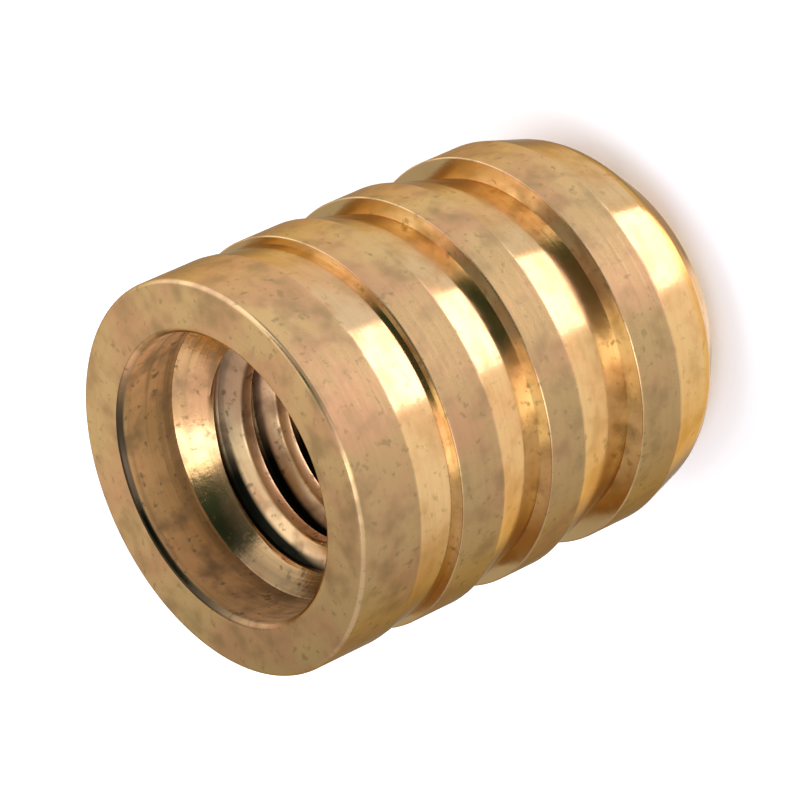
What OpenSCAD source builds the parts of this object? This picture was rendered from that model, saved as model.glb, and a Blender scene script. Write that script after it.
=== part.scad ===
// Press-in threaded insert: a turned brass sleeve with barbed rings outside
// and a tapped bore inside. It stands on its nose, with the mouth facing up.
// All sizes are in millimetres and the axis of the insert is Z.

/* [Thread] */
// Nominal diameter of the screw that the insert takes
thread_d = 4; // [3:0.1:4.4]
// Pitch of the screw thread
thread_pitch = 0.7; // [0.5:0.05:1]

/* [Mouth] */
// Extra diameter of the smooth lead-in over the screw
lead_in_clearance = 0.6; // [0.2:0.05:0.8]
// Depth of the smooth lead-in below the mouth face
lead_in_depth = 1.04; // [0.4:0.02:2]
// Angle from the axis of the cone that leads from the lead-in to the thread
lead_in_cone = 45; // [30:1:60]
// Chamfer on the inner edge of the mouth
mouth_inner_chamfer = 0.07; // [0.02:0.01:0.12]
// Chamfer on the outer edge of the mouth
mouth_outer_chamfer = 0.05; // [0.02:0.01:0.2]

/* [Barbs] */
// Diameter over the gripping lands
barb_d = 6.3; // [6:0.05:8]
// Length of each gripping land, from the mouth to the nose
land_lengths = [1.14, 0.82, 0.68, 0.8]; // [0.4:0.01:1.5]
// Length of each groove between two lands, from the mouth to the nose
groove_lengths = [0.86, 1, 1.22]; // [0.6:0.01:1.4]
// Angle from the axis of the tapered side of each groove
barb_tapers = [8.5, 15, 15.5]; // [6:0.5:20]

/* [Nose] */
// Length of the tapered nose that finds the hole
nose_length = 1.48; // [1:0.02:1.9]
// Angle from the axis of the nose taper
nose_taper = 16; // [8:1:22]
// Length of the blunt tip at the end of the nose
nose_tip_length = 0.62; // [0.2:0.02:0.8]
// Angle from the axis of the blunt tip
nose_tip_angle = 43; // [30:1:50]
// Chamfer where the thread leaves the nose
exit_chamfer = 0.4; // [0.1:0.02:0.5]

/* [Hidden] */
$fn = 128;

// Overlap that carries each cut past the faces it opens
cut_over = 0.5;

barb_r = barb_d / 2;
bore_r = (thread_d - thread_pitch) / 2;
lead_in_r = (thread_d + lead_in_clearance) / 2;
lead_in_cone_depth = (lead_in_r - bore_r) / tan(lead_in_cone);

grooves = len(groove_lengths);
insert_length = total(land_lengths) + total(groove_lengths) + nose_length;
nose_foot_r = barb_r - (nose_length - nose_tip_length) * tan(nose_taper);
nose_end_r = nose_foot_r - nose_tip_length * tan(nose_tip_angle);

// Least width of the flat ring that the insert stands on
nose_ring_min = 0.1;
// Chamfer where the thread leaves the nose, limited by the wall there
exit_depth = min(exit_chamfer, nose_end_r - bore_r - nose_ring_min);

// Sum of the first n numbers in a list, or of them all
function total(list, n = undef) =
    let (count = is_undef(n) ? len(list) : n)
    count <= 0 ? 0 : list[count - 1] + total(list, count - 1);

// Height above the nose face of the lower edge of one land
function land_foot(i) = insert_length - total(land_lengths, i + 1) - total(groove_lengths, i);

// Radius at the bottom of one groove
function root_r(i) = barb_r - groove_lengths[i] * tan(barb_tapers[i]);

// One groove as half-section points: tapered side, then a square shoulder
function groove_points(i) =
    let (top = land_foot(i), foot = top - groove_lengths[i])
    [
        [barb_r, top],
        [root_r(i), foot],
        [barb_r, foot],
    ];

// Half-section of the turned blank, from the mouth down the outside to the nose
blank_section = concat(
    [
        [0, insert_length],
        [barb_r - mouth_outer_chamfer, insert_length],
        [barb_r, insert_length - mouth_outer_chamfer],
    ],
    [for (i = [0 : grooves - 1]) each groove_points(i)],
    [
        [barb_r, nose_length],
        [nose_foot_r, nose_tip_length],
        [nose_end_r, 0],
        [0, 0],
    ]
);

module turned_blank() {
    rotate_extrude()
        polygon(blank_section);
}

// Round cut along the axis whose radius changes steadily between two heights
module cone_cut(low, high, low_r, high_r) {
    translate([0, 0, low])
        cylinder(h = high - low, r1 = low_r, r2 = high_r);
}

module tapping_hole() {
    cone_cut(-cut_over, insert_length, bore_r, bore_r);
}

module thread_exit() {
    cone_cut(-cut_over, exit_depth, bore_r + exit_depth + cut_over, bore_r);
}

module lead_in() {
    floor_z = insert_length - lead_in_depth;
    cone_cut(floor_z, insert_length + cut_over, lead_in_r, lead_in_r);
    cone_cut(floor_z - lead_in_cone_depth, floor_z, bore_r, lead_in_r);
}

module mouth_edge() {
    cone_cut(
        insert_length - mouth_inner_chamfer,
        insert_length + cut_over,
        lead_in_r,
        lead_in_r + mouth_inner_chamfer + cut_over
    );
}

module insert_body() {
    color([0.79, 0.62, 0.38])
        difference() {
            turned_blank();
            tapping_hole();
            thread_exit();
            lead_in();
            mouth_edge();
        }
}

insert_body();
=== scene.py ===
"""Looks of a press-in threaded insert: a turned brass sleeve with barbed rings and a tapped bore.

The insert stands on its nose with the mouth up. Sizes in the classes are in millimetres and are
turned into metres where a mesh is made.
"""

import logging
import math
from dataclasses import dataclass, field
from enum import Enum

import bmesh
import bpy
from mathutils import Matrix, Vector


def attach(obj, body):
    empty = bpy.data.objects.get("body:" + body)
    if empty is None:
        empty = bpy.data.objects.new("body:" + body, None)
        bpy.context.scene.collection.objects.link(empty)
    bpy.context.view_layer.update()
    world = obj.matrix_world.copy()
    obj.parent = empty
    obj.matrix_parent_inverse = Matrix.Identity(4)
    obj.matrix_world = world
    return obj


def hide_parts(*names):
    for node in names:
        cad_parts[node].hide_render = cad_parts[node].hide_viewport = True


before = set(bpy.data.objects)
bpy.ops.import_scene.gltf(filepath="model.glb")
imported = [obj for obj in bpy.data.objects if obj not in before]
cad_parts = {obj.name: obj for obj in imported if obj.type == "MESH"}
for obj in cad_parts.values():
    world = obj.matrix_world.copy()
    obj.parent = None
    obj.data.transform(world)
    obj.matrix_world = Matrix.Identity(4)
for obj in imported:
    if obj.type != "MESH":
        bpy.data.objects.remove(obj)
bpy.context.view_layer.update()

LOG = logging.getLogger("threaded_insert")
MM = 0.001
BODY = "root"
NODE = "insert_body"

Colour = tuple[float, float, float]
Vector3 = tuple[float, float, float]
Span = tuple[float, float]
Socket = bpy.types.NodeSocket

BLACK: Colour = (0.0, 0.0, 0.0)
UP: Vector3 = (0.0, 0.0, 1.0)
DOWN: Vector3 = (0.0, 0.0, -1.0)
FRONT: Vector3 = (0.0, -1.0, 0.0)
BACK: Vector3 = (0.0, 1.0, 0.0)
PLUS_X: Vector3 = (1.0, 0.0, 0.0)
MINUS_X: Vector3 = (-1.0, 0.0, 0.0)
# Sockets of the node groups that carry a vector
VECTORS = ("Place", "Normal")
# Sockets of a mix node that carry its colours
MIX_LOW, MIX_HIGH, MIX_RESULT = 6, 7, 2


class EdgeBreak(Enum):
    """Radius in millimetres to which a kind of edge is rounded; NONE leaves it sharp."""

    NONE = 0.0
    BORE = 0.02
    LAND = 0.022
    MOUTH = 0.024
    NOSE = 0.15


class Zone(Enum):
    """Material slot of each kind of surface on the insert."""

    LAND = 0
    TAPER = 1
    SHOULDER = 2
    LEAD_IN = 3
    CONE = 4
    THREAD = 5


@dataclass(frozen=True)
class Corner:
    """One corner of a half-section.

    Args:
        r: Distance from the axis in millimetres.
        z: Height above the nose face in millimetres.
        edge: How the corner is rounded.
    """

    r: float
    z: float
    edge: EdgeBreak = EdgeBreak.NONE


@dataclass
class NodeBoard:
    """Adds nodes to one shader tree and links them.

    Args:
        tree: Node tree that takes the nodes.
    """

    tree: bpy.types.NodeTree

    @classmethod
    def group(
        cls,
        name: str,
        inputs: tuple[str, ...],
        outputs: tuple[str, ...],
    ) -> tuple["NodeBoard", bpy.types.Node, bpy.types.Node]:
        """Opens a new node group.

        Args:
            name: Name of the group.
            inputs: Names of its inputs.
            outputs: Names of its outputs.

        Returns:
            The board of the group, its input node and its output node.
        """
        tree = bpy.data.node_groups.new(name, "ShaderNodeTree")
        for names, way in ((inputs, "INPUT"), (outputs, "OUTPUT")):
            for socket in names:
                kind = "NodeSocketVector" if socket in VECTORS else "NodeSocketFloat"
                tree.interface.new_socket(socket, in_out=way, socket_type=kind)
        return cls(tree), tree.nodes.new("NodeGroupInput"), tree.nodes.new("NodeGroupOutput")

    def link(self, source: Socket, target: Socket) -> None:
        """Links an output to an input.

        Args:
            source: Output that is read.
            target: Input that takes it.
        """
        self.tree.links.new(source, target)

    def use(
        self,
        inner: bpy.types.NodeTree,
        place: Socket,
        values: dict[str, float],
    ) -> bpy.types.Node:
        """Places a node group.

        Args:
            inner: The group.
            place: Socket for its input Place.
            values: Constant values of its other inputs, by name.

        Returns:
            The group node.
        """
        node = self.tree.nodes.new("ShaderNodeGroup")
        node.node_tree = inner
        self.link(place, node.inputs["Place"])
        for name, value in values.items():
            node.inputs[name].default_value = value
        return node

    def math(self, operation: str, first: Socket, second: Socket | float = 0.0) -> Socket:
        """Adds one math operation.

        Args:
            operation: Name of the operation.
            first: First value.
            second: Second value, as a socket or a constant.

        Returns:
            Socket with the result.
        """
        node = self.tree.nodes.new("ShaderNodeMath")
        node.operation = operation
        self.link(first, node.inputs[0])
        if isinstance(second, float):
            node.inputs[1].default_value = second
        else:
            self.link(second, node.inputs[1])
        return node.outputs["Value"]

    def product(self, *shares: Socket | float) -> Socket:
        """Multiplies shares.

        Args:
            *shares: Shares as sockets or constants, with a socket first.

        Returns:
            Socket with the product.
        """
        found = shares[0]
        for share in shares[1:]:
            found = self.math("MULTIPLY", found, share)
        return found

    def most(self, *values: Socket) -> Socket:
        """Finds the largest of some values.

        Args:
            *values: Values that are compared.

        Returns:
            Socket with the largest value.
        """
        found = values[0]
        for value in values[1:]:
            found = self.math("MAXIMUM", found, value)
        return found

    def ramp(
        self,
        value: Socket,
        span: Span,
        reach: Span = (0.0, 1.0),
        soft: bool = True,
    ) -> Socket:
        """Adds a clamped ramp.

        Args:
            value: Value that is read.
            span: Values at which the ramp begins and ends.
            reach: Values of the ramp there.
            soft: Whether both ends of the ramp are eased.

        Returns:
            Socket with the ramp.
        """
        node = self.tree.nodes.new("ShaderNodeMapRange")
        node.interpolation_type = "SMOOTHSTEP" if soft else "LINEAR"
        node.inputs["From Min"].default_value = span[0]
        node.inputs["From Max"].default_value = span[1]
        node.inputs["To Min"].default_value = reach[0]
        node.inputs["To Max"].default_value = reach[1]
        self.link(value, node.inputs["Value"])
        return node.outputs["Result"]

    def mix(self, share: Socket, low: Socket | Colour, high: Colour) -> Socket:
        """Adds a mix of two colours.

        Args:
            share: Share of the second colour.
            low: First colour, as a socket or a constant.
            high: Second colour.

        Returns:
            Socket with the mixed colour.
        """
        node = self.tree.nodes.new("ShaderNodeMix")
        node.data_type = "RGBA"
        first, second = node.inputs[MIX_LOW], node.inputs[MIX_HIGH]
        self.link(share, node.inputs["Factor"])
        if isinstance(low, tuple):
            first.default_value = (*low, 1.0)
        else:
            self.link(low, first)
        second.default_value = (*high, 1.0)
        return node.outputs[MIX_RESULT]

    def mix_value(self, share: Socket, low: Socket, high: float) -> Socket:
        """Adds a mix of two values.

        Args:
            share: Share of the second value.
            low: First value.
            high: Second value.

        Returns:
            Socket with the mixed value.
        """
        node = self.tree.nodes.new("ShaderNodeMix")
        self.link(share, node.inputs["Factor"])
        self.link(low, node.inputs["A"])
        node.inputs["B"].default_value = high
        return node.outputs["Result"]

    def noise(self, place: Socket, scale: float, detail: float = 3.0) -> Socket:
        """Adds a noise.

        Args:
            place: Place that is read.
            scale: Spots to the metre.
            detail: Octaves of finer noise.

        Returns:
            Socket with the noise, 0 to 1.
        """
        node = self.tree.nodes.new("ShaderNodeTexNoise")
        node.inputs["Scale"].default_value = scale
        node.inputs["Detail"].default_value = detail
        self.link(place, node.inputs["Vector"])
        return node.outputs["Fac"]

    def bump(
        self,
        height: Socket,
        strength: Socket,
        distance: float,
        normal: Socket | None = None,
    ) -> Socket:
        """Adds a bump.

        Args:
            height: Height of the surface, 0 to 1.
            strength: Strength of the bump.
            distance: Height in metres at 1.
            normal: Normal that is bumped, or None for that of the mesh.

        Returns:
            Socket with the normal.
        """
        node = self.tree.nodes.new("ShaderNodeBump")
        node.inputs["Distance"].default_value = distance
        self.link(strength, node.inputs["Strength"])
        self.link(height, node.inputs["Height"])
        if normal is not None:
            self.link(normal, node.inputs["Normal"])
        return node.outputs["Normal"]

    def split(self, place: Socket) -> bpy.types.bpy_prop_collection:
        """Splits a place into X, Y and Z.

        Args:
            place: Place that is split.

        Returns:
            The three sockets by name.
        """
        node = self.tree.nodes.new("ShaderNodeSeparateXYZ")
        self.link(place, node.inputs["Vector"])
        return node.outputs

    def join(self, *parts: Socket) -> Socket:
        """Joins X, Y and, where it is given, Z.

        Args:
            *parts: The two or three values.

        Returns:
            Socket with the vector.
        """
        node = self.tree.nodes.new("ShaderNodeCombineXYZ")
        for part, target in zip(parts, node.inputs):
            self.link(part, target)
        return node.outputs["Vector"]

    def radius(self, axes: bpy.types.bpy_prop_collection) -> Socket:
        """Measures the distance from the axis of the insert.

        Args:
            axes: Sockets X, Y and Z of a place.

        Returns:
            Socket with the distance in metres.
        """
        node = self.tree.nodes.new("ShaderNodeVectorMath")
        node.operation = "LENGTH"
        self.link(self.join(axes["X"], axes["Y"]), node.inputs[0])
        return node.outputs["Value"]

    def toward(self, way: Socket, direction: Vector3) -> Socket:
        """Measures how far a direction leans towards another.

        Args:
            way: Direction that is read.
            direction: Direction that it is set against.

        Returns:
            Socket with the cosine of the angle between them.
        """
        node = self.tree.nodes.new("ShaderNodeVectorMath")
        node.operation = "DOT_PRODUCT"
        node.inputs[1].default_value = Vector(direction).normalized()
        self.link(way, node.inputs[0])
        return node.outputs["Value"]


@dataclass(frozen=True)
class Finish:
    """Procedural brass finish of one kind of surface.

    Args:
        name: Name of the material.
        pale: Linear colour of the bright patches.
        warm: Linear colour of the reddish patches.
        dark: Linear colour of the stains and pits.
        mottle: Share of the reddish patches, 0 to 1.
        stain: Share of the dark stains, 0 to 1.
        rough: Roughness of the smoothest and of the dullest spots.
        ring_depth: Strength of the turning marks.
        grain_depth: Strength of the fine grain.
        streak: Share of the dark streaks along the turning marks, 0 to 1.
        shade: Share of colour lost to the painted shade that darkens the -X side, 0 to 1.
        rim: Linear colour of a painted shade towards both sides, or None where it does not change.
        bore_shade: Linear colour of the painted shade in the bore, or None where there is none.
        run_out: Linear colour where the thread runs out into the cone, or None where it does not.
        run_out_rough: Roughness there.
        tint: Linear tint of the glancing reflections.
    """

    name: str
    pale: Colour
    warm: Colour
    dark: Colour
    mottle: float
    stain: float
    rough: Span
    ring_depth: float
    grain_depth: float
    streak: float = 0.1
    shade: float = 0.44
    rim: Colour | None = None
    bore_shade: Colour | None = None
    run_out: Colour | None = None
    run_out_rough: float = 0.25
    tint: Colour = (0.75, 0.55, 0.35)

    def material(
        self,
        marks: "TurningMarks",
        tarnish_and_shade: "TarnishAndPaintedShade",
        painted_bore_shade: "PaintedBoreShade",
    ) -> bpy.types.Material:
        """Makes the material of this finish.

        Args:
            marks: Shared effect of the turning marks.
            tarnish_and_shade: Shared effect of the patches, stains and pits, and of the painted
                shade towards the sides.
            painted_bore_shade: Shared effect of the painted shade in the bore.

        Returns:
            The new material.
        """
        made = bpy.data.materials.new(self.name)
        made.use_nodes = True
        board = NodeBoard(made.node_tree)
        shader = board.tree.nodes["Principled BSDF"]
        shader.inputs["Metallic"].default_value = 1.0
        shader.inputs["Specular Tint"].default_value = (*self.tint, 1.0)
        place = board.tree.nodes.new("ShaderNodeTexCoord").outputs["Object"]

        depths = {"Ring depth": self.ring_depth, "Grain depth": self.grain_depth}
        turned = board.use(marks.tree(), place, depths).outputs
        board.link(turned["Normal"], shader.inputs["Normal"])
        shares = {"Mottle": self.mottle, "Stain": self.stain, "Shade": self.shade}
        cover = board.use(tarnish_and_shade.tree(), place, shares).outputs
        rough = board.ramp(cover["Dull"], (0.0, 1.0), self.rough, soft=False)

        colour = board.mix(cover["Warm"], self.pale, self.warm)
        colour = board.mix(cover["Dark"], colour, self.dark)
        colour = board.mix(board.product(turned["Streak"], self.streak), colour, self.dark)
        # Painted shade: the colour darkens towards the -X side.
        colour = board.mix(cover["Side"], colour, BLACK)
        # Painted shade towards both sides, where a rim colour is given.
        if self.rim is not None:
            colour = board.mix(cover["Rim"], colour, self.rim)
        # Painted shade in the bore: thread roots, the corner of the lead-in, the lip and the first
        # turn.
        if self.bore_shade is not None:
            bore = board.use(painted_bore_shade.tree(), place, {}).outputs
            colour = board.mix(bore["Bore shade"], colour, self.bore_shade)
            if self.run_out is not None:
                colour = board.mix(bore["Run out"], colour, self.run_out)
                rough = board.mix_value(bore["Run out"], rough, self.run_out_rough)
        board.link(colour, shader.inputs["Base Color"])
        board.link(rough, shader.inputs["Roughness"])
        return made


@dataclass
class SharedEffect:
    """Effect that several finishes share as one node group.

    Args:
        made: The group, once it is made.
    """

    made: bpy.types.NodeTree | None = field(default=None, init=False, repr=False)

    def tree(self) -> bpy.types.NodeTree:
        """Makes the group at the first call.

        Returns:
            The group.
        """
        if self.made is None:
            self.made = self._build()
        return self.made

    def _build(self) -> bpy.types.NodeTree:
        """Makes the group.

        Returns:
            The new group.
        """
        raise NotImplementedError


@dataclass
class TurningMarks(SharedEffect):
    """Shared effect: rings that the turning tool leaves round the axis, and a fine grain.

    Args:
        rings: Turning marks to the metre, along the section.
        sweep: Changes of a mark to the metre, round the axis.
        ring_detail: Octaves of finer marks.
        streaks: Heights of a mark at which a dark streak begins and is full.
        grain: Grains to the metre.
        height: Height of the marks in metres at depth 1.
    """

    rings: float = 9000.0
    sweep: float = 260.0
    ring_detail: float = 2.0
    streaks: Span = (0.42, 0.68)
    grain: float = 14000.0
    height: float = 0.00001

    def _build(self) -> bpy.types.NodeTree:
        """Makes the group.

        Returns:
            Group with the inputs Place, Ring depth and Grain depth and the outputs Normal and
            Streak.
        """
        names = ("Place", "Ring depth", "Grain depth")
        board, start, end = NodeBoard.group("turning_marks", names, ("Normal", "Streak"))
        place = start.outputs["Place"]
        axes = board.split(place)
        along = board.math("ADD", board.radius(axes), axes["Z"])
        swept = board.join(axes["X"], axes["Y"], board.product(along, self.rings / self.sweep))
        ring = board.noise(swept, self.sweep, self.ring_detail)
        board.link(board.ramp(ring, self.streaks), end.inputs["Streak"])
        ringed = board.bump(ring, start.outputs["Ring depth"], self.height)
        grain = board.noise(place, self.grain)
        normal = board.bump(grain, start.outputs["Grain depth"], self.height, ringed)
        board.link(normal, end.inputs["Normal"])
        return board.tree


@dataclass
class TarnishAndPaintedShade(SharedEffect):
    """Shared effect: reddish patches, dark stains and pits, dull spots, and painted shade towards
    the -X side and at both sides.

    Args:
        patches: Reddish patches to the metre.
        patch_cut: Noise at which a patch begins and is full.
        stains: Dark stains to the metre.
        stain_cut: Noise at which a stain begins and is full.
        pits: Pits to the metre.
        pit_cut: Noise at which a pit begins and is full.
        side_x: Places along X where the painted shade on the -X side begins and is full, in
            metres.
        rim_x: Distances from the middle along X where the painted shade at both sides begins and
            is full, in metres.
    """

    patches: float = 1100.0
    patch_cut: Span = (0.38, 0.64)
    stains: float = 2200.0
    stain_cut: Span = (0.44, 0.76)
    pits: float = 7000.0
    pit_cut: Span = (0.57, 0.71)
    side_x: Span = (0.0006, -0.003)
    rim_x: Span = (0.0021, 0.0029)

    def _build(self) -> bpy.types.NodeTree:
        """Makes the group.

        Returns:
            Group with the inputs Place, Mottle, Stain and Shade and the outputs Warm, Dark, Dull,
            Side and Rim.
        """
        names = ("Place", "Mottle", "Stain", "Shade")
        results = ("Warm", "Dark", "Dull", "Side", "Rim")
        board, start, end = NodeBoard.group("tarnish_and_shade", names, results)
        place = start.outputs["Place"]
        patch = board.ramp(board.noise(place, self.patches), self.patch_cut)
        stain = board.ramp(board.noise(place, self.stains), self.stain_cut)
        pit = board.ramp(board.noise(place, self.pits), self.pit_cut)
        spots = board.most(stain, pit)
        board.link(board.product(patch, start.outputs["Mottle"]), end.inputs["Warm"])
        board.link(board.product(spots, start.outputs["Stain"]), end.inputs["Dark"])
        board.link(board.most(patch, spots), end.inputs["Dull"])

        # Painted shade: darker towards -X, and a second ramp for both sides along X.
        across = board.split(place)["X"]
        side = board.ramp(across, self.side_x, soft=False)
        board.link(board.product(side, start.outputs["Shade"]), end.inputs["Side"])
        off_middle = board.math("ABSOLUTE", across)
        board.link(board.ramp(off_middle, self.rim_x), end.inputs["Rim"])
        return board.tree


@dataclass
class PaintedBoreShade(SharedEffect):
    """Shared effect of the bore: painted shade at the bottom of the thread, a painted shadow in
    the corner of the lead-in, a dark line painted on the lip and a dimmer first turn.

    Each pair of lengths gives where the painted shade begins and where it is full.

    Args:
        root_r: Radii of the painted shade at the bottom of the thread.
        crest_r: Radius at the crest of the thread.
        cone_foot: Height at which the cone below the lead-in meets the crest.
        cone_depth: Depths of the painted shade below the cone.
        run_out_depth: Depth below the cone at which the thread no longer looks like the cone.
        full_side_x: Places along X over which the painted shade in the thread grows to full
            towards -X.
        far_side_share: Share of the painted shade in the thread that is left on the +X side.
        corner_z: Height of the painted shadow in the corner where the lead-in meets the cone.
        corner_reach: Distance along the axis that it reaches.
        corner_x: Places along X of that painted shadow.
        corner_share: Share of the painted shadow in the corner.
        lip_z: Heights of the dark line painted on the inner edge of the mouth.
        lip_y: Places along Y of that painted line.
        lip_share: Share of the painted dark on that edge.
        dim_x: Places along X of the painted shade on the first turn.
        dim_z: Heights of that painted shade.
        dim_share: Share of the painted shade on the first turn.
    """

    root_r: Span = (1.82, 1.9)
    crest_r: float = 1.65
    cone_foot: float = 6.31
    cone_depth: Span = (0.02, 0.12)
    run_out_depth: float = 0.06
    full_side_x: Span = (0.7, -0.1)
    far_side_share: float = 0.6
    corner_z: float = 6.86
    corner_reach: float = 0.26
    corner_x: Span = (-0.1, -0.7)
    corner_share: float = 0.62
    lip_z: Span = (7.9, 7.94)
    lip_y: Span = (0.6, 1.9)
    lip_share: float = 0.97
    dim_x: Span = (0.1, 0.8)
    dim_z: Span = (5.85, 6.1)
    dim_share: float = 0.5

    def _build(self) -> bpy.types.NodeTree:
        """Makes the group.

        Returns:
            Group with the input Place and the outputs Bore shade and Run out.
        """
        board, start, end = NodeBoard.group("painted_bore_shade", ("Place",), ("Bore shade", "Run out"))
        axes = board.split(start.outputs["Place"])
        x, y, z = axes["X"], axes["Y"], axes["Z"]
        radius = board.radius(axes)
        below = board.math("SUBTRACT", radius, z)
        cone = self.crest_r - self.cone_foot
        under = self._ramp(board, below, (cone + self.cone_depth[0], cone + self.cone_depth[1]))
        shallow = self._ramp(board, below, (cone + self.run_out_depth, cone))
        board.link(shallow, end.inputs["Run out"])

        # Painted shade at the bottom of the thread, fuller towards -X.
        deep = self._ramp(board, radius, self.root_r)
        full_side = self._ramp(board, x, self.full_side_x, self.far_side_share)
        root = board.product(deep, under, full_side)
        # Painted shadow in the corner of the lead-in.
        off_corner = board.math("ABSOLUTE", board.math("SUBTRACT", z, self.corner_z * MM))
        near = self._ramp(board, off_corner, (self.corner_reach, 0.0))
        corner = board.product(near, self._ramp(board, x, self.corner_x), self.corner_share)
        # Dark line painted on the inner lip.
        high = self._ramp(board, z, self.lip_z)
        lip = board.product(high, self._ramp(board, y, self.lip_y), self.lip_share)
        # Painted shade on the first turn, on the +X side.
        side = self._ramp(board, x, self.dim_x)
        dimmed = board.product(side, self._ramp(board, z, self.dim_z), under, self.dim_share)
        board.link(board.most(root, corner, lip, dimmed), end.inputs["Bore shade"])
        return board.tree

    @staticmethod
    def _ramp(board: NodeBoard, value: Socket, span: Span, least: float = 0.0) -> Socket:
        """Adds a soft ramp over a span in millimetres.

        Args:
            board: Board of the group.
            value: Value in metres.
            span: Values in millimetres at which the ramp begins and is 1.
            least: Value of the ramp where it begins.

        Returns:
            Socket with the ramp, up to 1.
        """
        return board.ramp(value, (span[0] * MM, span[1] * MM), (least, 1.0))


@dataclass
class ThreadForm:
    """Right-hand screw thread in the bore.

    Args:
        major_r: Radius at the bottom of the thread.
        minor_r: Radius at the crest, which faces the axis.
        pitch: Rise of one turn.
        flank: Angle of a flank from the plane across the axis.
        root_flat: Length of the flat at the bottom of the thread.
        start_turn: Turn of the helix about the axis, in degrees.
        crest_edge: Radius of the edges of the crest.
        root_edge: Radius of the corners at the bottom.
        edge_segments: Facets of each of these roundings.
        facet: Length from which a side of the section is divided.
        facet_cuts: Cuts that divide it.
        run_in: Turns wound below the bore, which are trimmed off.
    """

    major_r: float = 2.0
    minor_r: float = 1.65
    pitch: float = 0.7
    flank: float = 30.0
    root_flat: float = 0.0875
    start_turn: float = 31.5
    crest_edge: float = 0.03
    root_edge: float = 0.03
    edge_segments: int = 2
    facet: float = 0.09
    facet_cuts: int = 2
    run_in: float = 1.5

    def corners(self) -> list[Span]:
        """Lists the corners of one turn, from crest to crest.

        Returns:
            Radius and height of each corner.
        """
        rise = (self.major_r - self.minor_r) * math.tan(math.radians(self.flank))
        crest = self.pitch - 2 * rise - self.root_flat
        return [
            (self.minor_r, 0.0),
            (self.minor_r, crest / 2),
            (self.major_r, crest / 2 + rise),
            (self.major_r, crest / 2 + rise + self.root_flat),
            (self.minor_r, self.pitch - crest / 2),
            (self.minor_r, self.pitch),
        ]


@dataclass(frozen=True)
class EdgeRule:
    """Says when the edge between two faces stays crisp in the shading.

    Args:
        least_turn: Bend that is always smooth, as a share of the bend between two flats.
        broad: Ratio between the areas of two faces from which the larger is broad.
        sharp_bend: Bend in degrees from which an edge is crisp whatever the areas.
    """

    least_turn: float = 1.2
    broad: float = 4.0
    sharp_bend: float = 30.0


@dataclass(frozen=True)
class ZoneRule:
    """Limits by which a face is given its kind of surface.

    Args:
        cone_slack: Distance from a cone within which a face of the thread belongs to it.
        wall_lean: Largest outward share of the normal on the wall of the lead-in.
        bore_lean: Largest outward share of the normal in the rest of the bore.
        mouth_band: Height below the outer chamfer of the mouth that is dressed as a land.
        land_band: Distance within the radius of the lands that is dressed as a land.
        shoulder_rise: Least upward share of the normal on a shoulder.
    """

    cone_slack: float = 0.002
    wall_lean: float = -0.9
    bore_lean: float = -0.05
    mouth_band: float = 0.02
    land_band: float = 0.03
    shoulder_rise: float = -0.1


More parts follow.
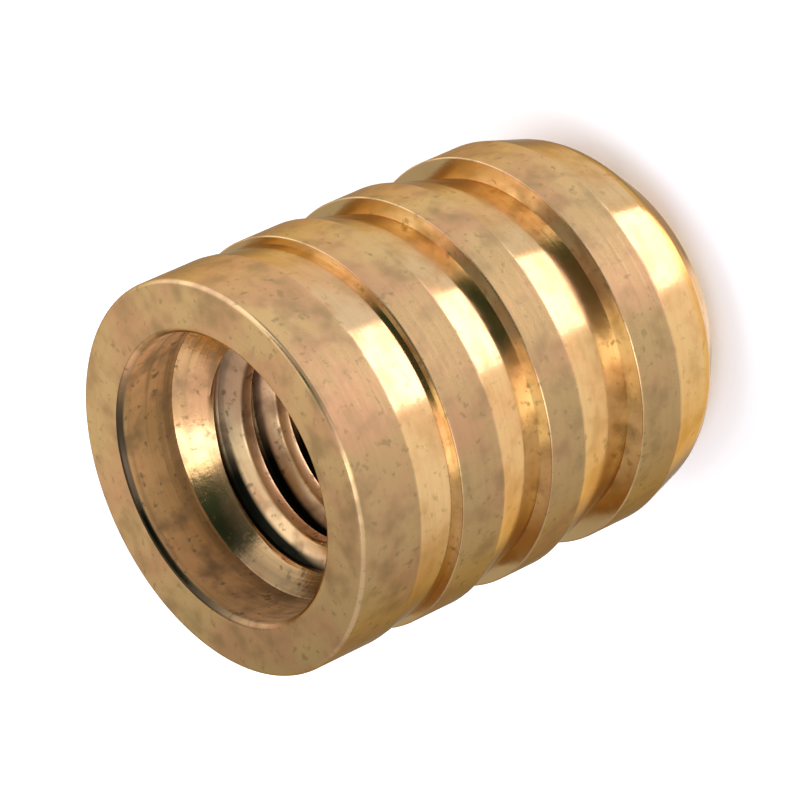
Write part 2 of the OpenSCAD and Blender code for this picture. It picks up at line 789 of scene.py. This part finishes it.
@dataclass
class InsertBody:
    """The insert: barbed sleeve, smooth lead-in, tapped bore and tapered nose in one closed mesh.

    Args:
        barb_r: Radius over the gripping lands.
        lands: Length of each land, from the mouth to the nose.
        grooves: Length of each groove, from the mouth to the nose.
        tapers: Angle of the tapered side of each groove, from the axis.
        nose: Length of the tapered nose.
        nose_taper: Angle of the nose taper, from the axis.
        nose_tip: Length of the blunt tip at the end of the nose.
        nose_tip_angle: Angle of the blunt tip, from the axis.
        lead_in_r: Radius of the smooth lead-in.
        lead_in_depth: Depth of the smooth lead-in.
        lead_in_cone: Angle of the cone below the lead-in, from the axis.
        mouth_inner: Chamfer on the inner edge of the mouth.
        mouth_outer: Chamfer on the outer edge of the mouth.
        exit_chamfer: Chamfer where the thread leaves the nose.
        joint_gap: Extra radius of the rings where the bore joins the shell, over the thread.
        steps: Flats in one turn of the mesh.
        edge_segments: Facets of each rounded edge.
        merge_gap: Distance under which points are merged.
        sliver: Length under which an edge is dissolved.
        thread: The screw thread.
        edge_rule: Which edges stay crisp.
        zone_rule: How faces are sorted into kinds of surface.
    """

    barb_r: float = 3.15
    lands: tuple[float, ...] = (1.14, 0.82, 0.68, 0.8)
    grooves: tuple[float, ...] = (0.86, 1.0, 1.22)
    tapers: tuple[float, ...] = (8.5, 15.0, 15.5)
    nose: float = 1.48
    nose_taper: float = 16.0
    nose_tip: float = 0.62
    nose_tip_angle: float = 43.0
    lead_in_r: float = 2.3
    lead_in_depth: float = 1.04
    lead_in_cone: float = 45.0
    mouth_inner: float = 0.07
    mouth_outer: float = 0.05
    exit_chamfer: float = 0.4
    joint_gap: float = 0.01
    steps: int = 240
    edge_segments: int = 3
    merge_gap: float = 0.0004
    sliver: float = 0.0002
    thread: ThreadForm = field(default_factory=ThreadForm)
    edge_rule: EdgeRule = field(default_factory=EdgeRule)
    zone_rule: ZoneRule = field(default_factory=ZoneRule)

    @property
    def height(self) -> float:
        """Length of the insert.

        Returns:
            Height of the mouth face above the nose face.
        """
        return sum(self.lands) + sum(self.grooves) + self.nose

    @property
    def joint_r(self) -> float:
        """Radius of the two rings where the tapped wall joins the turned shell.

        Returns:
            Radius in millimetres.
        """
        return self.thread.major_r + self.joint_gap

    @property
    def joint_top(self) -> float:
        """Height of the upper joint ring, on the cone below the lead-in.

        Returns:
            Height in millimetres.
        """
        fall = (self.lead_in_r - self.joint_r) / math.tan(math.radians(self.lead_in_cone))
        return self.height - self.lead_in_depth - fall

    @property
    def joint_low(self) -> float:
        """Height of the lower joint ring, on the chamfer at the nose.

        Returns:
            Height in millimetres.
        """
        return self.thread.minor_r + self.exit_chamfer - self.joint_r

    def shell_corners(self) -> list[Corner]:
        """Lists the half-section of the turned shell, from the bore over the mouth to the nose.

        Returns:
            Corners in order; the first and last lie on the joint rings.
        """
        floor = self.height - self.lead_in_depth
        found = [
            Corner(self.joint_r, self.joint_top),
            Corner(self.lead_in_r, floor),
            Corner(self.lead_in_r, self.height - self.mouth_inner, EdgeBreak.BORE),
            Corner(self.lead_in_r + self.mouth_inner, self.height, EdgeBreak.BORE),
            Corner(self.barb_r - self.mouth_outer, self.height, EdgeBreak.MOUTH),
            Corner(self.barb_r, self.height - self.mouth_outer, EdgeBreak.MOUTH),
        ]
        foot = self.height
        for land, groove, taper in zip(self.lands, self.grooves, self.tapers):
            foot -= land
            root = self.barb_r - groove * math.tan(math.radians(taper))
            found.append(Corner(self.barb_r, foot, EdgeBreak.LAND))
            foot -= groove
            found.append(Corner(root, foot))
            found.append(Corner(self.barb_r, foot, EdgeBreak.LAND))
        tip_r = self.barb_r - (self.nose - self.nose_tip) * math.tan(math.radians(self.nose_taper))
        end_r = tip_r - self.nose_tip * math.tan(math.radians(self.nose_tip_angle))
        found.append(Corner(self.barb_r, self.nose, EdgeBreak.LAND))
        found.append(Corner(tip_r, self.nose_tip, EdgeBreak.NOSE))
        found.append(Corner(end_r, 0.0, EdgeBreak.LAND))
        found.append(Corner(self.thread.minor_r + self.exit_chamfer, 0.0, EdgeBreak.BORE))
        found.append(Corner(self.joint_r, self.joint_low))
        return found

    def build(self, finishes: dict[Zone, bpy.types.Material]) -> bpy.types.Object:
        """Builds and dresses the insert.

        Args:
            finishes: Material of each kind of surface.

        Returns:
            The piece, riding on its body in place of the solid.
        """
        mesh = bmesh.new()
        self._spin_shell(mesh)
        self._cut_thread(mesh)
        bmesh.ops.remove_doubles(mesh, verts=mesh.verts[:], dist=self.merge_gap * MM)
        bmesh.ops.dissolve_degenerate(mesh, dist=self.sliver * MM, edges=mesh.edges[:])
        bmesh.ops.recalc_face_normals(mesh, faces=mesh.faces[:])
        self._zone_faces(mesh)
        self._crisp_edges(mesh)
        open_edges = sum(1 for edge in mesh.edges if not edge.is_manifold)
        LOG.info("insert: %d faces, %d open edges", len(mesh.faces), open_edges)

        data = bpy.data.meshes.new("insert")
        for zone in Zone:
            data.materials.append(finishes[zone])
        mesh.to_mesh(data)
        mesh.free()
        data.shade_smooth()
        piece = bpy.data.objects.new("insert", data)
        bpy.context.scene.collection.objects.link(piece)
        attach(piece, BODY)
        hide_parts(NODE)
        return piece

    def _spin_shell(self, mesh: bmesh.types.BMesh) -> None:
        """Draws the half-section as a wire, rounds its corners and spins it round the axis.

        Args:
            mesh: Mesh that takes the shell.
        """
        corners = self.shell_corners()
        points = self._draw(mesh, [(c.r, c.z) for c in corners])
        for kind in EdgeBreak:
            chosen = [p for p, c in zip(points, corners) if c.edge is kind]
            if kind is not EdgeBreak.NONE and chosen:
                self._round(mesh, chosen, kind.value, self.edge_segments)
        self._spin(mesh)

    @staticmethod
    def _draw(wire: bmesh.types.BMesh, section: list[Span]) -> list[bmesh.types.BMVert]:
        """Draws a half-section as a wire.

        Args:
            wire: Mesh that takes the wire.
            section: Radius and height of each corner.

        Returns:
            The corners as vertices, in order.
        """
        points = [wire.verts.new((r * MM, 0.0, z * MM)) for r, z in section]
        for first, second in zip(points[:-1], points[1:]):
            wire.edges.new((first, second))
        return points

    @staticmethod
    def _round(
        wire: bmesh.types.BMesh,
        points: list[bmesh.types.BMVert],
        radius: float,
        segments: int,
    ) -> None:
        """Rounds corners of a half-section.

        Args:
            wire: Mesh with the wire.
            points: Corners that are rounded.
            radius: Radius of the rounding.
            segments: Facets of the rounding.
        """
        bmesh.ops.bevel(
            wire,
            geom=points,
            offset=radius * MM,
            offset_type="OFFSET",
            affect="VERTICES",
            segments=segments,
            profile=0.5,
            material=-1,
        )

    def _spin(self, wire: bmesh.types.BMesh, rise: float = 0.0) -> None:
        """Spins a half-section one turn round the axis.

        Args:
            wire: Mesh with the wire.
            rise: Height that the turn climbs, or 0 where it closes on itself.
        """
        bmesh.ops.spin(
            wire,
            geom=wire.verts[:] + wire.edges[:],
            cent=(0.0, 0.0, 0.0),
            axis=UP,
            dvec=(0.0, 0.0, rise * MM / self.steps),
            angle=2 * math.pi,
            steps=self.steps,
            use_merge=rise == 0.0,
        )

    def _cut_thread(self, mesh: bmesh.types.BMesh) -> None:
        """Winds the thread up the bore and trims it to the cones at both ends.

        Args:
            mesh: Mesh that takes the tapped wall.
        """
        form = self.thread
        wound = bmesh.new()
        low = self.joint_low - form.run_in * form.pitch
        turns = math.ceil((self.joint_top - low) / form.pitch) + 1
        points = self._draw(wound, [(r, low + z) for r, z in form.corners()])
        crest_points, root_points = points[1::3], points[2:4]
        self._round(wound, crest_points, form.crest_edge, form.edge_segments)
        self._round(wound, root_points, form.root_edge, form.edge_segments)
        long_edges = [e for e in wound.edges if e.calc_length() > form.facet * MM]
        bmesh.ops.subdivide_edges(wound, edges=long_edges, cuts=form.facet_cuts)
        turn = Matrix.Rotation(math.radians(form.start_turn), 4, "Z")
        bmesh.ops.transform(wound, matrix=turn, verts=wound.verts[:])
        self._spin(wound, form.pitch)
        one_turn = wound.verts[:] + wound.edges[:] + wound.faces[:]
        for step in range(1, turns):
            copied = bmesh.ops.duplicate(wound, geom=one_turn)["geom"]
            points = [item for item in copied if isinstance(item, bmesh.types.BMVert)]
            bmesh.ops.translate(wound, verts=points, vec=(0.0, 0.0, step * form.pitch * MM))
        bmesh.ops.remove_doubles(wound, verts=wound.verts[:], dist=self.merge_gap * MM)
        for point in wound.verts:
            self._trim(point)
        bmesh.ops.remove_doubles(wound, verts=wound.verts[:], dist=self.merge_gap * MM)
        data = bpy.data.meshes.new("thread_wall")
        wound.to_mesh(data)
        wound.free()
        mesh.from_mesh(data)
        bpy.data.meshes.remove(data)

    def _trim(self, point: bmesh.types.BMVert) -> None:
        """Moves one vertex of the thread onto the cone that cuts it, if one does.

        Args:
            point: Vertex of the wound thread.
        """
        r = math.hypot(point.co.x, point.co.y) / MM
        z = point.co.z / MM
        new_r = max(r, self._cone_r(z))
        new_z = z
        if z >= self.joint_top:
            new_r, new_z = self.joint_r, self.joint_top
        elif z <= self.joint_low:
            new_r, new_z = self.joint_r, self.joint_low
        point.co = Vector((point.co.x * new_r / r, point.co.y * new_r / r, new_z * MM))

    def _cone_r(self, z: float) -> float:
        """Finds the radius of the cones at the two ends of the thread.

        Args:
            z: Height above the nose face in millimetres.

        Returns:
            The larger radius of the two cones at that height.
        """
        floor = self.height - self.lead_in_depth
        mouth_r = self.lead_in_r - (floor - z) * math.tan(math.radians(self.lead_in_cone))
        exit_r = self.thread.minor_r + self.exit_chamfer - z
        return max(mouth_r, exit_r)

    def _crisp_edges(self, mesh: bmesh.types.BMesh) -> None:
        """Keeps the shading of a broad face true up to its edge, while roundings stay smooth.

        Args:
            mesh: The closed mesh of the insert.
        """
        rule = self.edge_rule
        least_bend = math.radians(rule.least_turn * 360.0 / self.steps)
        sharp_bend = math.radians(rule.sharp_bend)
        for edge in mesh.edges:
            if len(edge.link_faces) != 2:
                continue
            first, second = edge.link_faces
            small, large = sorted((first.calc_area(), second.calc_area()))
            bend = first.normal.angle(second.normal, 0.0)
            crisp = large > rule.broad * small or bend > sharp_bend
            edge.smooth = not (crisp and bend > least_bend)

    def _zone_faces(self, mesh: bmesh.types.BMesh) -> None:
        """Gives each face its material slot.

        Args:
            mesh: The closed mesh of the insert.
        """
        rule = self.zone_rule
        mouth_foot = self.height - self.mouth_outer - rule.mouth_band
        for face in mesh.faces:
            middle = face.calc_center_median()
            r = math.hypot(middle.x, middle.y) / MM
            across = (face.normal.x * middle.x + face.normal.y * middle.y) / (r * MM)
            z = middle.z / MM
            in_thread = self.joint_low < z < self.joint_top and r < self.joint_r
            zone = Zone.TAPER
            if in_thread and abs(r - self._cone_r(z)) > rule.cone_slack:
                zone = Zone.THREAD
            elif across < rule.wall_lean:
                zone = Zone.LEAD_IN
            elif across < rule.bore_lean or in_thread:
                zone = Zone.CONE
            elif z > mouth_foot or r > self.barb_r - rule.land_band:
                zone = Zone.LAND
            elif face.normal.z > rule.shoulder_rise:
                zone = Zone.SHOULDER
            face.material_index = zone.value


@dataclass
class PhotoCamera:
    """Camera above the mouth, rolled as in the photo.

    Args:
        tilt: Angle between the axis of the insert and the line of sight, in degrees.
        roll: Angle of the axis in the picture, in degrees above the horizontal.
        radius_px: Outer radius at the mouth, in picture points.
        shrink: Share by which the picture shrinks over one outer radius of depth.
        mouth_px: Place of the mouth's centre in the picture.
        picture_px: Width of the square picture.
        sensor_mm: Width of the sensor.
        clip_m: Nearest and farthest distance that is drawn, in metres.
    """

    tilt: float = 54.04
    roll: float = 24.69
    radius_px: float = 212.0
    shrink: float = 0.0339
    mouth_px: Span = (220.3, 480.0)
    picture_px: float = 800.0
    sensor_mm: float = 36.0
    clip_m: Span = (0.005, 10.0)

    def place(self, body: InsertBody) -> bpy.types.Object:
        """Places the camera for the insert.

        Args:
            body: The insert in view.

        Returns:
            The camera, set as the camera of the scene.
        """
        tilt = math.radians(self.tilt)
        roll = math.radians(self.roll)
        inward = Vector(DOWN)
        near = Vector(FRONT)
        side = Vector(MINUS_X)
        lean = math.sin(tilt) * inward + math.cos(tilt) * near
        right = math.cos(roll) * lean + math.sin(roll) * side
        down = -math.sin(roll) * lean + math.cos(roll) * side
        ahead = math.cos(tilt) * inward - math.sin(tilt) * near

        distance = body.barb_r / self.shrink
        focal_px = self.radius_px / self.shrink
        half = self.picture_px / 2
        off_right = (self.mouth_px[0] - half) * distance / focal_px
        off_down = (self.mouth_px[1] - half) * distance / focal_px
        mouth = Vector((0.0, 0.0, body.height))
        eye = (mouth - off_right * right - off_down * down - distance * ahead) * MM

        lens = bpy.data.cameras.new("photo_camera")
        lens.sensor_width = self.sensor_mm
        lens.lens = focal_px / self.picture_px * self.sensor_mm
        lens.clip_start, lens.clip_end = self.clip_m
        camera = bpy.data.objects.new("photo_camera", lens)
        turn = Matrix((right, -down, -ahead)).transposed().to_4x4()
        camera.matrix_world = Matrix.Translation(eye) @ turn
        bpy.context.scene.collection.objects.link(camera)
        bpy.context.scene.camera = camera
        return camera


@dataclass(frozen=True)
class Patch:
    """One patch of the light tent, cut out by soft-edged planes through the insert.

    Args:
        tone: Linear radiance of the patch.
        edges: Each edge as a direction, the least share of it inside the patch and the softness.
    """

    tone: Colour
    edges: tuple[tuple[Vector3, float, float], ...]


@dataclass
class Studio:
    """Pale floor and soft light tent with a strip light and dark gaps.

    Args:
        floor_half: Half the width of the floor in metres.
        floor_tone: Linear tone of the floor.
        tent_tone: Linear radiance of the tent.
        patches: Patches of other radiance, each laid over those before it.
        fill_energy: Power of the soft lamp over the floor in watts.
        fill_size: Width of that lamp in metres.
        fill_place: Place of that lamp in metres.
    """

    floor_half: float = 1.0
    floor_tone: float = 0.97
    tent_tone: Colour = (0.95, 0.95, 0.95)
    patches: tuple[Patch, ...] = ()
    fill_energy: float = 2.0
    fill_size: float = 0.6
    fill_place: Vector3 = (0.1, 0.1, 0.8)

    def build(self) -> None:
        """Lays the floor and lights the scene."""
        self._floor()
        self._tent()
        self._fill()

    def _floor(self) -> None:
        """Lays the floor, which mirrors nothing but keeps the shadow."""
        mesh = bmesh.new()
        bmesh.ops.create_grid(mesh, x_segments=1, y_segments=1, size=self.floor_half)
        data = bpy.data.meshes.new("floor")
        mesh.to_mesh(data)
        mesh.free()
        pale = bpy.data.materials.new("floor_pale")
        pale.use_nodes = True
        shader = pale.node_tree.nodes["Principled BSDF"]
        shader.inputs["Base Color"].default_value = (self.floor_tone,) * 3 + (1.0,)
        shader.inputs["Roughness"].default_value = 1.0
        shader.inputs["Specular IOR Level"].default_value = 0.0
        data.materials.append(pale)
        floor = bpy.data.objects.new("floor", data)
        bpy.context.scene.collection.objects.link(floor)
        floor.visible_glossy = False
        floor.visible_shadow = False

    def _fill(self) -> None:
        """Hangs a soft lamp over the floor, which the metal does not mirror."""
        lamp = bpy.data.lights.new("fill", "AREA")
        lamp.shape = "DISK"
        lamp.size = self.fill_size
        lamp.energy = self.fill_energy
        fill = bpy.data.objects.new("fill", lamp)
        fill.location = self.fill_place
        fill.visible_glossy = False
        bpy.context.scene.collection.objects.link(fill)

    def _tent(self) -> None:
        """Makes the world: a white tent with its patches."""
        world = bpy.data.worlds.new("tent")
        world.use_nodes = True
        board = NodeBoard(world.node_tree)
        back = board.tree.nodes["Background"]
        way = board.tree.nodes.new("ShaderNodeTexCoord").outputs["Generated"]
        tone: Socket | Colour = self.tent_tone
        for patch in self.patches:
            shares = [
                board.ramp(board.toward(way, direction), (least - soft, least + soft))
                for direction, least, soft in patch.edges
            ]
            tone = board.mix(board.product(*shares), tone, patch.tone)
        back.inputs["Color"].default_value = (*self.tent_tone, 1.0)
        if not isinstance(tone, tuple):
            board.link(tone, back.inputs["Color"])
        bpy.context.scene.world = world


PATCHES: tuple[Patch, ...] = (
    # Dim patch behind, low down
    Patch(
        tone=(0.5, 0.5, 0.45),
        edges=(((0.0, 0.81, -0.59), 0.86, 0.1),),
    ),
    # Pale patch on the +X side, low down
    Patch(
        tone=(1.12, 1.12, 1.1),
        edges=(((0.8, 0.1, -0.59), 0.82, 0.1),),
    ),
    # Bright ground under the -X half
    Patch(
        tone=(1.55, 1.55, 1.6),
        edges=(
            (DOWN, 0.72, 0.05),
            (MINUS_X, 0.0, 0.02),
        ),
    ),
    # Cool ground under the +X edge
    Patch(
        tone=(1.15, 1.25, 1.6),
        edges=(
            (DOWN, 0.68, 0.05),
            (PLUS_X, 0.42, 0.04),
        ),
    ),
    # Bright wall high on the +X side
    Patch(
        tone=(2.05, 2.2, 2.6),
        edges=(
            ((0.85, 0.15, 0.5), 0.8, 0.06),
            (UP, -0.15, 0.08),
        ),
    ),
    # Pale wall high on the -X side
    Patch(
        tone=(1.3, 1.3, 1.5),
        edges=(
            ((-0.85, 0.15, 0.5), 0.8, 0.06),
            (UP, -0.15, 0.08),
        ),
    ),
    # Dark gap overhead, in front
    Patch(
        tone=(0.04, 0.095, 0.075),
        edges=(
            ((0.25, -0.42, 0.87), 0.88, 0.03),
            (FRONT, 0.12, 0.07),
        ),
    ),
    # Dim band on the horizon in front, on the +X side
    Patch(
        tone=(0.45, 0.5, 0.65),
        edges=(
            ((0.45, -0.89, 0.0), 0.72, 0.05),
            (UP, -0.3, 0.06),
            (DOWN, -0.35, 0.06),
        ),
    ),
    # Bright band on the horizon in front, on the -X side
    Patch(
        tone=(1.9, 2.0, 2.0),
        edges=(
            ((-0.5, -0.86, 0.1), 0.88, 0.03),
            (UP, -0.25, 0.05),
        ),
    ),
    # Lamp overhead in front, on the -X side
    Patch(
        tone=(3.2, 3.3, 3.5),
        edges=(
            ((-0.36, -0.42, 0.83), 0.968, 0.015),
            (MINUS_X, 0.08, 0.02),
        ),
    ),
    # Pale patch overhead, on the +X side
    Patch(
        tone=(1.6, 1.55, 1.6),
        edges=(
            ((0.42, 0.1, 0.9), 0.94, 0.04),
            (BACK, 0.0, 0.06),
        ),
    ),
    # Core of the lamp overhead
    Patch(
        tone=(4.8, 4.7, 6.0),
        edges=(((-0.42, -0.49, 0.765), 0.984, 0.006),),
    ),
    # Low lamp in front, on the -X side
    Patch(
        tone=(3.0, 3.4, 3.6),
        edges=(
            ((-0.42, -0.85, 0.33), 0.93, 0.02),
            (UP, 0.24, 0.04),
        ),
    ),
    # Strip light below
    Patch(
        tone=(4.3, 4.0, 4.9),
        edges=(
            ((-0.829, -0.49, -0.27), 0.0, 0.015),
            ((0.997, -0.074, -0.037), 0.0, 0.015),
            (DOWN, 0.72, 0.04),
        ),
    ),
)

FINISHES: dict[Zone, Finish] = {
    Zone.LAND: Finish(
        name="brass_land",
        pale=(0.6, 0.395, 0.18),
        warm=(0.56, 0.31, 0.16),
        dark=(0.31, 0.22, 0.1),
        mottle=0.9,
        stain=0.7,
        rough=(0.24, 0.40),
        ring_depth=0.25,
        grain_depth=0.12,
    ),
    Zone.TAPER: Finish(
        name="brass_taper",
        pale=(0.62, 0.40, 0.18),
        warm=(0.62, 0.33, 0.14),
        dark=(0.30, 0.20, 0.07),
        mottle=0.7,
        stain=0.4,
        rough=(0.10, 0.20),
        ring_depth=0.12,
        grain_depth=0.05,
        shade=0.3,
    ),
    Zone.SHOULDER: Finish(
        name="brass_shoulder",
        # Paler than the lands: painted light that brightens the shoulders and their reflections.
        pale=(0.86, 0.74, 0.55),
        warm=(0.86, 0.66, 0.46),
        dark=(0.40, 0.32, 0.19),
        mottle=0.9,
        stain=0.7,
        rough=(0.12, 0.26),
        ring_depth=0.12,
        grain_depth=0.08,
        shade=0.2,
        # Painted shade: the shoulders darken towards both sides.
        rim=(0.40, 0.27, 0.125),
    ),
    Zone.LEAD_IN: Finish(
        name="brass_lead_in",
        # Paler than the lands: painted light that lifts the shaded lead-in.
        pale=(0.86, 0.62, 0.30),
        warm=(0.84, 0.52, 0.24),
        dark=(0.34, 0.23, 0.11),
        mottle=1.0,
        stain=0.9,
        rough=(0.5, 0.7),
        ring_depth=0.5,
        grain_depth=0.2,
        streak=0.6,
        shade=0.35,
        # Colour of the painted shade in the bore.
        bore_shade=(0.035, 0.026, 0.015),
    ),
    Zone.CONE: Finish(
        name="brass_cone",
        pale=(0.57, 0.34, 0.14),
        warm=(0.56, 0.30, 0.14),
        dark=(0.22, 0.14, 0.06),
        mottle=0.9,
        stain=0.8,
        rough=(0.17, 0.32),
        ring_depth=0.3,
        grain_depth=0.15,
        streak=0.4,
        # Colour of the painted shade in the bore.
        bore_shade=(0.035, 0.026, 0.015),
    ),
    Zone.THREAD: Finish(
        name="brass_thread",
        # Paler than the lands: painted light that lifts the shaded thread.
        pale=(0.93, 0.67, 0.36),
        warm=(0.93, 0.58, 0.33),
        dark=(0.32, 0.21, 0.11),
        mottle=0.8,
        stain=0.7,
        rough=(0.42, 0.6),
        ring_depth=0.1,
        grain_depth=0.1,
        shade=0.0,
        # Colour of the painted shade in the bore.
        bore_shade=(0.010, 0.011, 0.007),
        run_out=(0.50, 0.30, 0.125),
    ),
}


def main() -> None:
    logging.basicConfig(level=logging.INFO, format="%(name)s: %(message)s")
    marks = TurningMarks()
    tarnish_and_shade = TarnishAndPaintedShade()
    # Painted shade in the bore.
    bore_shade = PaintedBoreShade()
    finishes = {zone: finish.material(marks, tarnish_and_shade, bore_shade) for zone, finish in FINISHES.items()}
    body = InsertBody()
    piece = body.build(finishes)
    Studio(patches=PATCHES).build()
    PhotoCamera().place(body)
    bpy.context.scene.view_settings.view_transform = "Standard"


if __name__ == "__main__":
    main()
